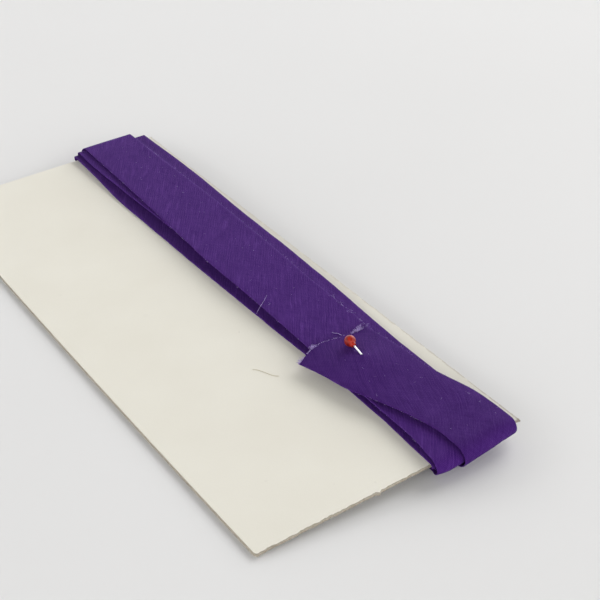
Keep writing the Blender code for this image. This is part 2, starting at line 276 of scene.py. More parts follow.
def read_rows(rows, column, place):
    """Return a column's value at a place, on a smooth curve through the rows."""
    last = len(rows) - 1
    index = 0
    while index < last - 1 and rows[index + 1][0] < place:
        index += 1
    first = rows[index]
    second = rows[index + 1]
    before = rows[max(index - 1, 0)]
    after = rows[min(index + 2, last)]
    width = second[0] - first[0]
    share = clamp((place - first[0]) / width)
    slope_in = (second[column] - before[column]) / (second[0] - before[0]) * width
    slope_out = (after[column] - first[column]) / (after[0] - first[0]) * width
    return (
        first[column] * (2 * share**3 - 3 * share**2 + 1)
        + slope_in * (share**3 - 2 * share**2 + share)
        + second[column] * (3 * share**2 - 2 * share**3)
        + slope_out * (share**3 - share**2)
    )


def card_to_frame():
    """Return the move from the card's own coordinates to the frame's."""
    lean = math.atan2(UNDER_DEPTH, FLAT_REACH)
    card_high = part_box("card")[1]
    across = card_high.x - CARD_WIDTH * math.cos(lean)
    along = card_high.y - CARD_LENGTH
    return Matrix.Translation((across, along, 0.0)) @ Matrix.Rotation(-lean, 4, "Y")


CARD_TO_FRAME = card_to_frame()


def operator(operation, swapped=False):
    """Return a method for Formula that adds a Math node."""

    def method(self, other):
        values = (other, self) if swapped else (self, other)
        return work_out(operation, *values)

    return method


class Formula:
    """A node's output that can be added, multiplied and so on like a plain number."""

    def __init__(self, socket):
        self.socket = socket
        self.tree = socket.id_data

    __add__ = operator("ADD")
    __radd__ = operator("ADD", swapped=True)
    __sub__ = operator("SUBTRACT")
    __rsub__ = operator("SUBTRACT", swapped=True)
    __mul__ = operator("MULTIPLY")
    __rmul__ = operator("MULTIPLY", swapped=True)
    __truediv__ = operator("DIVIDE")
    __pow__ = operator("POWER")


def connect(value, socket):
    """Give a socket a plain value, or link it where the value comes from a node."""
    if isinstance(value, Formula):
        value.tree.links.new(value.socket, socket)
    else:
        socket.default_value = value


def new_node(tree, kind, settings):
    made = tree.nodes.new(kind)
    for name, value in settings.items():
        setattr(made, name, value)
    return made


def node(tree, kind, output=0, settings=None, **inputs):
    """Add a node and return one of its outputs.

    settings are its properties, and inputs its sockets by name with _ for a space.
    """
    made = new_node(tree, kind, settings or {})
    for name, value in inputs.items():
        connect(value, made.inputs[name.replace("_", " ")])
    return Formula(made.outputs[output])


def in_order(kind, values, settings):
    """Add a node whose inputs are given in their order, and return its first output."""
    tree = next(value.tree for value in values if isinstance(value, Formula))
    made = new_node(tree, kind, settings)
    for value, socket in zip(values, made.inputs):
        connect(value, socket)
    return Formula(made.outputs[0])


def work_out(operation, *values, held=False):
    """Return the result of a Math node. With held it stays between 0 and 1."""
    return in_order("ShaderNodeMath", values, {"operation": operation, "use_clamp": held})


def vector_work(operation, *values):
    return in_order("ShaderNodeVectorMath", values, {"operation": operation})


def vector(x, y, z):
    return in_order("ShaderNodeCombineXYZ", (x, y, z), {})


def scaled(place, size):
    return vector_work("MULTIPLY", place, vector(size, size, size))


def parts_of(place):
    """Return the x, y and z of a vector that comes from a node."""
    split = place.tree.nodes.new("ShaderNodeSeparateXYZ")
    connect(place, split.inputs[0])
    return [Formula(socket) for socket in split.outputs]


def noise_at(place, scale=1.0, detail=2.0, roughness=0.5):
    """Return noise from 0 to 1 about its middle, 0.5."""
    looks = {"Scale": scale, "Detail": detail, "Roughness": roughness}
    return node(place.tree, "ShaderNodeTexNoise", "Fac", Vector=place, **looks)


def new_material(name, roughness, **inputs):
    """Start a material. inputs are its shader's, by name with _ for a space."""
    material = bpy.data.materials.new(name)
    material.use_nodes = True
    shader = material.node_tree.nodes["Principled BSDF"]
    shader.inputs["Roughness"].default_value = roughness
    for label, value in inputs.items():
        shader.inputs[label.replace("_", " ")].default_value = value
    return material, material.node_tree, shader


def uv_in_mm(tree, name):
    """Return the two UV values of a piece, which are stored in metres, in mm."""
    x, y, _ = parts_of(node(tree, "ShaderNodeUVMap", settings={"uv_map": name}))
    return x / MM, y / MM


def object_in_mm(tree, scale):
    """Return a piece's Object coordinates in mm, times a scale along each axis."""
    place = node(tree, "ShaderNodeTexCoord", "Object")
    return node(tree, "ShaderNodeMapping", Vector=place, Scale=[part / MM for part in scale])


def tinted(colours, share):
    """Return a colour on a ramp. colours is a list of places and linear colours."""
    made = share.tree.nodes.new("ShaderNodeValToRGB")
    elements = made.color_ramp.elements
    while len(elements) < len(colours):
        elements.new(0.5)
    for element, (place, colour) in zip(elements, colours):
        element.position = place
        element.color = (*colour, 1.0)
    connect(share, made.inputs["Fac"])
    return Formula(made.outputs["Color"])


def blended_colour(a, b, share):
    made = share.tree.nodes.new("ShaderNodeMix")
    made.data_type = "RGBA"
    made.clamp_factor = True
    for value, number in ((share, 0), (a, 6), (b, 7)):
        connect(value, made.inputs[number])
    return Formula(made.outputs[2])


def bump(shader, height, distance, strength):
    relief = {"Distance": distance, "Strength": strength}
    connect(node(height.tree, "ShaderNodeBump", Height=height, **relief), shader.inputs["Normal"])


PURPLE_DEEP = (0.0255, 0.0045, 0.082)
PURPLE = (0.0528, 0.0106, 0.1485)
PURPLE_PALE = (0.114, 0.040, 0.252)
THREAD_PITCH = 0.435  # mm
THREAD_SLANT = math.radians(35.0)  # from the tape's length, since winding has pulled it long
WORN_AND_LIT_WIDTH = 0.5  # mm of the folded edges that are paler, partly wear and partly a painted highlight of the fold


def cotton_material(name, streaks, ribs, painted_shade_scale):
    """Return plain-woven cotton cut on the bias.

    streaks is how strongly its thick places show, and ribs how strongly every second thread does.
    painted_shade_scale, up to 1, scales the purple; the loose end's lower value is painted shade on the
    same cloth.
    """
    looks = {"Sheen_Weight": 0.03, "Sheen_Roughness": 0.4, "Sheen_Tint": (0.62, 0.50, 0.80, 1.0)}
    material, tree, shader = new_material(name, 0.9, Specular_IOR_Level=0.08, **looks)
    along, across = uv_in_mm(tree, "cloth")
    sine = math.sin(THREAD_SLANT)
    cosine = math.cos(THREAD_SLANT)
    wander = noise_at(vector(along, across, 3.0), 0.3) - 0.5
    warp = along * sine - across * cosine + wander
    weft = along * sine + across * cosine + wander
    warp_run = along * cosine + across * sine
    weft_run = along * cosine - across * sine
    turn = math.pi / THREAD_PITCH
    warp_wave = work_out("SINE", warp * turn)
    weft_wave = work_out("SINE", weft * turn)
    over = clamp(warp_wave * weft_wave * 2.5 + 0.5)
    weave = mix(work_out("ABSOLUTE", weft_wave), work_out("ABSOLUTE", warp_wave), over)
    warp_slub = noise_at(vector(warp * 1.25, warp_run * 0.13, 1.0), 1.0, 3.0, 0.6)
    weft_slub = noise_at(vector(weft * 1.25, weft_run * 0.16, 7.0), 1.0, 3.0, 0.6)
    thick = warp_wave * eased(noise_at(vector(warp * 0.25, warp_run * 0.08, 4.0)) * 3.0 - 1.0)
    slub = eased((noise_at(vector(warp * 0.85, warp_run * 0.075, 21.0)) - 0.54) * 7.0)
    cloud = noise_at(vector(along, across, 0.0), 0.11, 3.0)
    half = TAPE_WIDTH / 2 / MM
    # Paler folded edges: partly wear and fuzz, partly a painted highlight where the rounded fold catches
    # the light.
    worn_and_lit_edge = eased((work_out("ABSOLUTE", across - half) - (half - WORN_AND_LIT_WIDTH)) * 2.4)
    lint = eased((noise_at(vector(along, across, 11.0), 1.7, 1.0) - 0.80) * 14.0)
    shade = (
        0.5
        + (warp_slub - 0.5) * 0.60
        + (weft_slub - 0.5) * 0.34
        + slub * streaks
        + thick * ribs
        + (weave - 0.6) * 0.55
        + (cloud - 0.5) * 0.25
        + worn_and_lit_edge * 0.10
        + lint * 0.35
    )
    dyes = ((0.0, PURPLE_DEEP), (0.5, PURPLE), (1.0, PURPLE_PALE))
    colours = [(place, [part * painted_shade_scale for part in dye]) for place, dye in dyes]
    connect(tinted(colours, shade), shader.inputs["Base Color"])
    height = weave * 0.6 + warp_slub * 0.8 + weft_slub * 0.6 + slub * streaks * 2.0 + thick * ribs * 2.0
    bump(shader, height, 0.07 * MM, 0.8)
    return material


CARD_PALE = ((0.1, (0.757, 0.729, 0.641)), (0.9, (0.813, 0.794, 0.711)))
CARD_CORE = ((0.3, (0.23, 0.195, 0.15)), (0.7, (0.46, 0.42, 0.35)))
CARD_STAIN = (0.20, 0.17, 0.13, 1.0)
# Colour of the strip along the torn edge: the face come off, darkened as painted shadow of the step down
# to the lower plies.
CARD_PEELED_AND_SHADOWED = (0.44, 0.39, 0.32, 1.0)
PEEL_AND_SHADOW_START = 98.75  # mm from the card's left edge, where its face has come off and a painted shadow of the torn step begins
# Marks on the face. Columns: x, y and radius in mm, and strength.
CARD_MARKS = (
    (52.7, 92.0, 0.30, 0.60),
    (18.9, 23.4, 0.80, 0.06),
    (45.1, 3.9, 0.60, 0.08),
    (34.7, 10.4, 0.50, 0.06),
    (31.0, 120.0, 1.60, 0.03),
    (12.0, 150.0, 1.20, 0.03),
)


def board_material():
    """Return cream card: a smooth face, and the grey-brown plies on its cut and torn edges."""
    material, tree, shader = new_material("cream card", 0.82, Specular_IOR_Level=0.3)
    x, y = uv_in_mm(tree, "board")
    place = vector(x, y, 0.0)
    cloud = noise_at(place, 0.035, 3.0)
    fleck = noise_at(place, 2.2, 4.0, 0.7)
    grain = noise_at(vector(x * 2.4, y * 0.8, 5.0), 1.0, 3.0, 0.6)
    share = (cloud - 0.5) * 0.9 + (fleck - 0.5) * 0.5 + (grain - 0.5) * 0.25 + 0.5
    face = tinted(CARD_PALE, share)
    for mark_x, mark_y, radius, strength in CARD_MARKS:
        off = ((x - mark_x) ** 2 + (y - mark_y) ** 2) ** 0.5
        spot = 1.0 - eased(off / radius)
        face = blended_colour(face, CARD_STAIN, spot * strength)
    # Darker strip along the torn right edge: partly the face come off, partly painted shadow of the torn
    # step.
    gap = noise_at(vector(2.0, y * 0.22, 8.0), 1.0, 3.0, 0.6)
    peeled_and_shadowed = eased((x - PEEL_AND_SHADOW_START + (gap - 0.5) * 1.6) / 0.35) * eased((gap - 0.36) * 8.0)
    faint = 0.55 - eased(y / 140.0) * 0.35
    face = blended_colour(face, CARD_PEELED_AND_SHADOWED, peeled_and_shadowed * faint)
    ply = node(tree, "ShaderNodeAttribute", "Fac", {"attribute_name": "ply"})
    streak = noise_at(vector(x * 1.3, y * 1.3, ply * 9.0), 1.0, 4.0, 0.7)
    raw = clamp(ply * 4.0)
    connect(blended_colour(face, tinted(CARD_CORE, streak), raw), shader.inputs["Base Color"])
    bump(shader, fleck * 0.7 + grain * 0.5 + streak * raw * 2.0, 0.03 * MM, 0.6)
    return material


def mottled_material(name, roughness, spots, colours, axes=(1.0, 1.0, 1.0), relief=None, **inputs):
    """Return a material whose colour wanders between two.

    spots are the scale, detail and roughness of its noise, axes stretch it along x, y and z, and
    relief is the distance and strength of its bump.
    """
    material, tree, shader = new_material(name, roughness, **inputs)
    mottle = noise_at(object_in_mm(tree, axes), *spots)
    connect(tinted(colours, mottle), shader.inputs["Base Color"])
    if relief:
        bump(shader, mottle, *relief)
    return material


def finish_piece(piece, slot, *nodes):
    """Make a piece ride with the object and stand for its nodes. slot is not used."""
    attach(piece, "root")
    if nodes:
        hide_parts(*nodes)
    return piece


def new_piece(name, mesh):
    piece = bpy.data.objects.new(name, mesh)
    bpy.context.scene.collection.objects.link(piece)
    return piece


def face_out(mesh):
    """Turn a closed mesh's faces outwards."""
    bm = bmesh.new()
    bm.from_mesh(mesh)
    bmesh.ops.recalc_face_normals(bm, faces=bm.faces[:])
    if bm.calc_volume(signed=True) < 0.0:
        bmesh.ops.reverse_faces(bm, faces=bm.faces[:])
    bm.to_mesh(mesh)
    bm.free()


def skin(bm, rings):
    """Join rings of vertices by faces. A ring may be a single vertex."""
    count = max(len(ring) for ring in rings)
    for low, high in zip(rings, rings[1:]):
        for i in range(count):
            j = (i + 1) % count
            corners = (low[i % len(low)], low[j % len(low)], high[j % len(high)], high[i % len(high)])
            bm.faces.new(tuple(dict.fromkeys(corners)))


def cap(bm, rings):
    """Close the first and the last ring with triangles, and return these."""
    faces = []
    for ring in (rings[0], rings[-1]):
        made = bmesh.ops.triangulate(bm, faces=[bm.faces.new(ring)])
        faces += made["faces"]
    return faces


def finished_mesh(bm, name, material, sharp=None, move=CARD_TO_FRAME):
    """Return a bmesh as a moved mesh, smooth but for edges sharper than an angle in degrees."""
    bmesh.ops.recalc_face_normals(bm, faces=bm.faces[:])
    mesh = bpy.data.meshes.new(name)
    bm.to_mesh(mesh)
    bm.free()
    mesh.shade_smooth()
    if sharp:
        mesh.set_sharp_from_angle(angle=math.radians(sharp))
    mesh.materials.append(material)
    mesh.transform(move)
    return mesh


def circle(radius, steps):
    turns = [math.tau * i / steps for i in range(steps)]
    return [(radius * math.cos(turn), radius * math.sin(turn)) for turn in turns]


def plain_mesh(piece):
    """Turn a piece with a Geometry Nodes modifier into a plain mesh in the frame's coordinates."""
    graph = bpy.context.evaluated_depsgraph_get()
    evaluated = piece.evaluated_get(graph)
    mesh = bpy.data.meshes.new_from_object(evaluated, preserve_all_data_layers=True, depsgraph=graph)
    piece.modifiers.clear()
    old = piece.data
    piece.data = mesh
    bpy.data.meshes.remove(old)
    face_out(mesh)
    mesh.transform(CARD_TO_FRAME)


def new_tree(name, kinds):
    """Start a Geometry Nodes tree. kinds are its inputs' kinds by name.

    Return the tree and what comes in at each input, by name.
    """
    tree = bpy.data.node_groups.new(name, "GeometryNodeTree")
    kinds = {"Geometry": "Geometry", **kinds, "Material": "Material"}
    for label, kind in kinds.items():
        tree.interface.new_socket(label, in_out="INPUT", socket_type=f"NodeSocket{kind}")
    tree.interface.new_socket("Geometry", in_out="OUTPUT", socket_type="NodeSocketGeometry")
    entry = tree.nodes.new("NodeGroupInput")
    return tree, {label: Formula(entry.outputs[label]) for label in kinds}


def use_tree(piece, tree, values):
    """Give a piece a tree, with values for the tree's inputs by name."""
    modifier = piece.modifiers.new(tree.name, "NODES")
    modifier.node_group = tree
    for socket in tree.interface.items_tree:
        if socket.name in values:
            modifier[socket.identifier] = values[socket.name]


def attribute(tree, name, kind="FLOAT"):
    return node(tree, "GeometryNodeInputNamedAttribute", settings={"data_type": kind}, Name=name)


def end_tree(tree, geometry, material):
    """Finish a tree: real geometry, smooth, with its material."""
    real = node(tree, "GeometryNodeRealizeInstances", Geometry=geometry)
    smooth = node(tree, "GeometryNodeSetShadeSmooth", Geometry=real)
    painted = node(tree, "GeometryNodeSetMaterial", Geometry=smooth, Material=material)
    connect(painted, tree.nodes.new("NodeGroupOutput").inputs[0])
    return tree


def across_turns(x):
    return clamp((x - TURNS_LEFT) / (TURNS_RIGHT - TURNS_LEFT))


def near_room(x):
    """Return the room between the card's near end and the turns, widest a little in from their left."""
    rise = ROOM_RISE * eased((x - ROOM_RISE_START) / ROOM_RISE_WIDTH)
    return NEAR_ROOM + rise - ROOM_FALL * clamp((x - ROOM_FALL_START) / ROOM_FALL_WIDTH)


TAPE_SIZES = {
    "Tape Thickness": TAPE_THICKNESS,
    "Card Thickness": CARD_THICKNESS,
    "Far Room": FAR_SLACK,
    "Near Squeeze": NEAR_SQUEEZE,
    "Flat Reach": FLAT_REACH,
    "Spill Start": SPILL_START,
    "Spill Width": SPILL_WIDTH,
    "Unevenness": 0.10,
    "Edge Wander": 0.5 * MM,
}


def wound_tape_tree():
    """Sweep the tape's section along its way round the card and lay it in its place there."""
    tree, given = new_tree("wound tape", {"Section": "Object", **dict.fromkeys(TAPE_SIZES, "Float")})
    way = node(tree, "GeometryNodeMeshToCurve", Mesh=given["Geometry"])
    section = node(tree, "GeometryNodeObjectInfo", "Geometry", Object=given["Section"])
    ring = node(tree, "GeometryNodeMeshToCurve", Mesh=section)
    swept = node(tree, "GeometryNodeCurveToMesh", Curve=way, Profile_Curve=ring, Fill_Caps=True)
    names = ("share", "rise", "run", "side", "angle", "left", "right", "along")
    share, rise, run, side, angle, left, right, along = (attribute(tree, name) for name in names)
    wander = noise_at(vector(along * 110.0, share * 3.0, 0.0))
    x = mix(left, right, share) + (wander - 0.5) * given["Edge Wander"]
    swell = noise_at(vector(x * 55.0, run * 38.0, side))
    swell = 1.0 + (swell - 0.5) * given["Unevenness"]
    grow = rise * given["Tape Thickness"]
    spilled = attribute(tree, "spill") * eased((x - given["Spill Start"]) / given["Spill Width"])
    top = (attribute(tree, "top") - spilled + grow) * swell
    lifted = top + attribute(tree, "lift")
    loss = across_turns(x) * (1.0 - given["Near Squeeze"])
    near = clamp(1.0 - run / SQUEEZE_LENGTH)
    pressed = work_out("MINIMUM", x / given["Flat Reach"], 1.0)
    low = (GAP + (attribute(tree, "low") + grow - GAP) * (1.0 - loss * near)) * pressed
    near_reach = near_room(x) + (top - GAP) * (1.0 - loss)
    far_reach = given["Far Room"] + top - GAP - spilled * 1.1
    reach = mix(near_reach, far_reach, clamp(side))
    y = run + side * reach * work_out("SINE", angle)
    card = given["Card Thickness"]
    middle = (card + lifted - low) / 2.0
    half = (card + lifted + low) / 2.0
    z = middle + half * work_out("COSINE", angle)
    laid = node(tree, "GeometryNodeSetPosition", Geometry=swept, Position=vector(x, y, z))
    stored = node(
        tree,
        "GeometryNodeStoreNamedAttribute",
        settings={"data_type": "FLOAT2", "domain": "CORNER"},
        Geometry=laid,
        Name="cloth",
        Value=vector(along, share * TAPE_WIDTH, 0.0),
    )
    return end_tree(tree, stored, given["Material"])


def mesh_with_values(name, points, edges, values):
    """Return a mesh of points and edges with named numbers or vectors at its points."""
    mesh = bpy.data.meshes.new(name)
    mesh.from_pydata(points, edges, [])
    for label, numbers in values.items():
        if isinstance(numbers[0], float):
            mesh.attributes.new(label, "FLOAT", "POINT").data.foreach_set("value", numbers)
        else:
            flat = [part for aim in numbers for part in aim]
            mesh.attributes.new(label, "FLOAT_VECTOR", "POINT").data.foreach_set("vector", flat)
    return mesh


def tape_section():
    """Return the tape's section: a flat loop with round folded edges, as share across and rise."""
    edge = TAPE_THICKNESS / 2 / TAPE_WIDTH
    round_steps = 5
    flat_steps = 24
    half = []
    for i in range(round_steps):
        turn = math.pi * i / (round_steps - 1)
        half.append((edge * (1.0 - math.sin(turn)), 0.5 - 0.5 * math.cos(turn)))
    for i in range(1, flat_steps):
        half.append((mix(edge, 1.0 - edge, i / flat_steps), 1.0))
    return half + [(1.0 - share, 1.0 - rise) for share, rise in half]


def at_far_end(y):
    return eased((y - RISE_START) / (CARD_LENGTH - RISE_START))


def slack_lift(turn, y):
    """Return how far a turn's top run stands above its place in a tight winding."""
    if turn <= 0:
        return FAR_RISE * at_far_end(y)
    return mix(UPPER_LIFT * eased((y - LIFT_START) / LIFT_LENGTH), FAR_RISE, at_far_end(y))


def last_turn_top(y):
    return TIGHT_TOP + slack_lift(3, y)


def tape_way():
    """Return the points along the tape's way round the card, each a dictionary of its values."""
    points = []
    first_way = TAPE_ROWS[0][0]
    last_way = TAPE_ROWS[-1][0]
    steps = (120, 12, 60, 14)
    lengths = (CARD_LENGTH, FOLD_LENGTH, CARD_LENGTH, FOLD_LENGTH)
    along = 0.0
    for quarter in range(-1, int(last_way) + 1):
        turn, stretch = divmod(quarter, 4)
        level = max(turn, 0)
        next_level = min(turn + 1, 3) if stretch == 3 else level
        for i in range(steps[stretch]):
            share = i / steps[stretch]
            way = quarter + share
            if not first_way <= way <= last_way:
                continue
            run = (share, 1.0, 1.0 - share, 0.0)[stretch] * CARD_LENGTH
            spill = mix(*SPILL_FALL, at_far_end(run)) if turn == SPILLED_TURN else 0.0
            point = {
                "run": run,
                "side": (1.0, 1.0, 0.0, -1.0)[stretch],
                "angle": (0.0, share, 1.0, 1.0 - share)[stretch] * math.pi,
                "left": read_rows(TAPE_ROWS, 1, way) * MM,
                "right": read_rows(TAPE_ROWS, 2, way) * MM,
                "top": TOP_DEPTHS[next_level] * MM,
                "low": UNDER_DEPTHS[level] * MM,
                "spill": spill,
                "along": along + share * lengths[stretch],
                "lift": slack_lift(turn, run) if stretch < 2 else 0.0,
            }
            points.append(point)
        along += lengths[stretch]
    return points


def make_winding(cotton):
    """Wind the folded tape round the card in one length."""
    way = tape_way()
    places = [(0.0, 0.01 * i, 0.0) for i in range(len(way))]
    edges = [(i, i + 1) for i in range(len(way) - 1)]
    values = {label: [point[label] for point in way] for label in way[0]}
    piece = new_piece("binding_winding_cloth", mesh_with_values("tape way", places, edges, values))
    loop = tape_section()
    corners = [(share * TAPE_WIDTH, rise * TAPE_THICKNESS, 0.0) for share, rise in loop]
    ring = {"share": [share for share, _ in loop], "rise": [rise for _, rise in loop]}
    ring_edges = [(i, (i + 1) % len(loop)) for i in range(len(loop))]
    section = new_piece("tape_section", mesh_with_values("tape section", corners, ring_edges, ring))
    use_tree(piece, wound_tape_tree(), {"Section": section, **TAPE_SIZES, "Material": cotton})
    plain_mesh(piece)
    bpy.data.objects.remove(section)
    finish_piece(piece, "binding", "binding_winding")


def step_height(x, left, right, depth, room):
    """Return how high a sheet lies over a run of turns, falling away past its two sides."""
    past_right = max(x - right + FALL_INSET, 0.0)
    past_left = max(left - GAP - x, 0.0)
    fall = past_right**2 / (past_right + FALL_WIDTH)
    return depth + room - END_FALL * fall - END_DROOP * past_left


def soft_max(levels):
    """Return the highest of some levels, rounded off where two of them meet."""
    top = max(levels)
    spread = sum(math.exp((level - top) / END_SOFTNESS) for level in levels)
    return top + END_SOFTNESS * math.log(spread) * 0.5


def hump(x, y, height, place, spread):
    across = (x - place[0]) / spread[0]
    along = (y - place[1]) / spread[1]
    return height * math.exp(-(across**2) - along**2)


def end_lift(x, y):
    """Return how high the loose end's inner face lies above the card's face."""
    place = clamp(y / CARD_LENGTH)
    left, right, beside = (read_rows(BED_ROWS, column, place) * MM for column in (1, 2, 3))
    upper = TOP_DEPTHS[3] * MM + TAPE_THICKNESS
    lower = TOP_DEPTHS[2] * MM + TAPE_THICKNESS
    over_top = step_height(x, left, right, upper, END_LIFT)
    over_low = step_height(x, left, beside, lower, GAP)
    mound = hump(x, y, MOUND_HEIGHT, MOUND_PLACE, MOUND_SPREAD)
    mound += hump(x, y, PUCKER_HEIGHT, PUCKER_PLACE, PUCKER_SPREAD)
    swell = END_SWELL * noise.noise(Vector((x * 90.0, y * 60.0, 2.0)))
    return soft_max((over_top, over_low, 2 * GAP)) + mound + swell


def end_under(x, y):
    """Return how far the loose end's inner face hangs below the card's underside."""
    squeeze = 1.0 - (1.0 - NEAR_SQUEEZE) * clamp(1.0 - y / SQUEEZE_LENGTH) * across_turns(x)
    turns = GAP + (UNDER_DEPTHS[2] * MM + TAPE_THICKNESS - GAP) * squeeze
    right = mix(*UNDER_RIGHT, clamp(y / UNDER_RIGHT_LENGTH))
    hanging = max(step_height(x, 0.0, right, turns, END_STAND_OFF), LEAST_HANG)
    table = x * UNDER_DEPTH / FLAT_REACH
    return min(hanging, table - 2 * CLOTH - PLY_ROOM - TABLE_ROOM)


def end_reach(x):
    """Return how far the loose end's inner face stands out past the card's near end."""
    turns = (TOP_DEPTHS[3] * MM + TAPE_THICKNESS - GAP) * mix(1.0, NEAR_SQUEEZE, across_turns(x))
    past_right = max(x - REACH_RIGHT, 0.0)
    return max(near_room(x) + turns + GAP + END_STAND_OFF - END_FALL * past_right, LEAST_REACH)


def end_section():
    """Return the loose end's folded section as share across and height in mm.

    The tape's two sides are turned in underneath and meet at its middle.
    """
    thick = CLOTH / MM
    whole = 2 * thick + PLY_ROOM / MM
    half = whole / 2
    small = half - thick
    width = TAPE_WIDTH / MM
    edge = half / width
    steps = 16
    arc_steps = 5
    outer = []
    inner = []
    for i in range(steps + 1):
        share = mix(0.5 - SIDES_GAP, edge, i / steps)
        outer.append((share, 0.0))
        inner.append((share, thick))
    for i in range(1, arc_steps):
        turn = math.pi * i / arc_steps
        outer.append((edge * (1.0 - math.sin(turn)), half - half * math.cos(turn)))
        inner.append((edge - small / width * math.sin(turn), half - small * math.cos(turn)))
    for i in range(steps + 1):
        share = mix(edge, 1.0 - edge, i / (2 * steps))
        outer.append((share, whole))
        inner.append((share, whole - thick))
    for half_loop in (outer, inner):
        half_loop += [(1.0 - share, height) for share, height in half_loop[-2::-1]]
    return outer + inner[::-1]


def end_row_point(row, share):
    """Return a point across the loose end at a row of its top run, without its height."""
    rows = [(float(i), *values) for i, values in enumerate(END_ROWS)]
    left_x, left_y, right_x, right_y = (read_rows(rows, column, row) * MM for column in range(1, 5))
    raw = max(row - (END_LAST - 1.0), 0.0) ** 2
    x = mix(left_x, right_x, share)
    y = mix(left_y, right_y, share) + raw * read_rows(RAW_END_ROWS, 1, share) * MM
    return x, y


def end_top_point(row, share, grow):
    x, y = end_row_point(row, share)
    return Vector((x, y, CARD_THICKNESS + end_lift(x, y) + grow))


def end_fold_point(turn, share, grow):
    x = mix(END_ROWS[0][0], END_ROWS[0][2], share) * MM
    top = end_lift(x, 0.0) + grow
    low = end_under(x, 0.0) + grow
    middle = (CARD_THICKNESS + top - low) / 2
    half = (CARD_THICKNESS + top + low) / 2
    return Vector((x, -(end_reach(x) + grow) * math.sin(turn), middle + half * math.cos(turn)))


def end_under_point(y, share, grow):
    x = mix(END_ROWS[0][0], END_ROWS[0][2], share) * MM
    return Vector((x, y, -end_under(x, y) - grow))


def make_end(cotton):
    """Lay the loose end: from under the card, round its near end and slantwise over the turns."""
    under_steps = 8
    fold_steps = 20
    row_steps = 10
    # Each place along it: how a point is found there, where it is, and the length to the next.
    stations = []
    for i in range(under_steps):
        y = END_UNDER_LENGTH * (1.0 - i / under_steps)
        stations.append((end_under_point, y, END_UNDER_LENGTH / under_steps))
    for i in range(fold_steps):
        turn = math.pi * (1.0 - i / fold_steps)
        stations.append((end_fold_point, turn, END_FOLD_LENGTH / fold_steps))
    for i in range(row_steps * int(END_LAST) + 1):
        stations.append((end_top_point, i / row_steps, END_ROW_LENGTH / row_steps))
    section = end_section()
    bm = bmesh.new()
    layer = bm.loops.layers.uv.new("cloth")
    rings = []
    marks = {}
    along = 0.0
    for point_at, where, length in stations:
        ring = [bm.verts.new(point_at(where, share, rise * MM)) for share, rise in section]
        for vertex, (share, _) in zip(ring, section):
            marks[vertex] = (along, share * TAPE_WIDTH)
        rings.append(ring)
        along += length
    for number, vertex in enumerate(rings[-1]):
        vertex.co.y += CUT_WANDER * noise.noise(Vector((number * 0.9, 5.0, 1.0)))
    skin(bm, rings)
    for face in bm.faces:
        for loop in face.loops:
            loop[layer].uv = marks[loop.vert]
    for face in cap(bm, rings):
        for loop in face.loops:
            loop[layer].uv = (0.0, loop.vert.co.x)
    mesh = finished_mesh(bm, "loose end", cotton, 60.0)
    return finish_piece(new_piece("binding_end_cloth", mesh), "binding", "binding_end")


def fibre_tree():
    """Stand a thin curled fibre on each point, along the point's aim and as long as its size."""
    sizes = ("Fibre Radius", "Curl", "Curl Scale", "Seed")
    tree, given = new_tree("loose fibres", dict.fromkeys(sizes, "Float"))
    points = node(tree, "GeometryNodeMeshToPoints", Mesh=given["Geometry"])
    line = node(tree, "GeometryNodeCurvePrimitiveLine", Start=(0.0, 0.0, 0.0), End=(0.0, 0.0, 1.0))
    fibre = node(tree, "GeometryNodeResampleCurve", Curve=line, Count=9)
    aim = attribute(tree, "aim", "FLOAT_VECTOR")
    size = attribute(tree, "size")
    stood = node(
        tree,
        "GeometryNodeInstanceOnPoints",
        Points=points,
        Instance=fibre,
        Rotation=node(tree, "FunctionNodeAlignRotationToVector", settings={"axis": "Z"}, Vector=aim),
        Scale=vector(size, size, size),
    )
    real = node(tree, "GeometryNodeRealizeInstances", Geometry=stood)
    spread = scaled(node(tree, "GeometryNodeInputPosition"), given["Curl Scale"])
    place = vector_work("ADD", spread, vector(given["Seed"], size * 9000.0, 0.0))
    bend = node(tree, "ShaderNodeTexNoise", "Color", Vector=place, Detail=1.0)
    curl = node(tree, "GeometryNodeSplineParameter", "Factor") * given["Curl"] * size
    offset = scaled(vector_work("SUBTRACT", bend, (0.5, 0.5, 0.5)), curl)
    curled = node(tree, "GeometryNodeSetPosition", Geometry=real, Offset=offset)
    ring = node(tree, "GeometryNodeCurvePrimitiveCircle", Resolution=4, Radius=given["Fibre Radius"])
    tube = node(tree, "GeometryNodeCurveToMesh", Curve=curled, Profile_Curve=ring, Fill_Caps=True)
    return end_tree(tree, tube, given["Material"])


def make_fibres(name, tree, fibres, values):
    """Make one piece of loose fibres. fibres is a list of places, aims and sizes."""
    places, aims, sizes = zip(*fibres)
    piece = new_piece(name, mesh_with_values(name, places, [], {"aim": aims, "size": sizes}))
    use_tree(piece, tree, values)
    plain_mesh(piece)
    return finish_piece(piece, "binding")


def side_aim(rng, out):
    return Vector((out, rng.uniform(-0.8, 0.8), rng.uniform(-0.2, 0.7)))


def lying_aim(rng, rise):
    return Vector((rng.uniform(-1.0, 1.0), rng.uniform(-1.0, 1.0), rise))


def raw_edge_fibres(rng):
    """Return the frayed threads of the loose end's cut."""
    fibres = []
    for start, stop, count, longest in FRAY_CLUMPS:
        for _ in range(count):
            share = rng.uniform(start, stop)
            place = end_top_point(END_LAST, share, rng.uniform(0.3, 1.1) * END_THICKNESS)
            place.y -= rng.uniform(0.0, 0.4) * MM
            aim = Vector((rng.gauss(-0.1, 0.7), rng.uniform(0.1, 1.0), rng.uniform(-0.1, 0.6)))
            fibres.append((place, aim, rng.uniform(0.35, 1.0) * longest * MM))
    return fibres


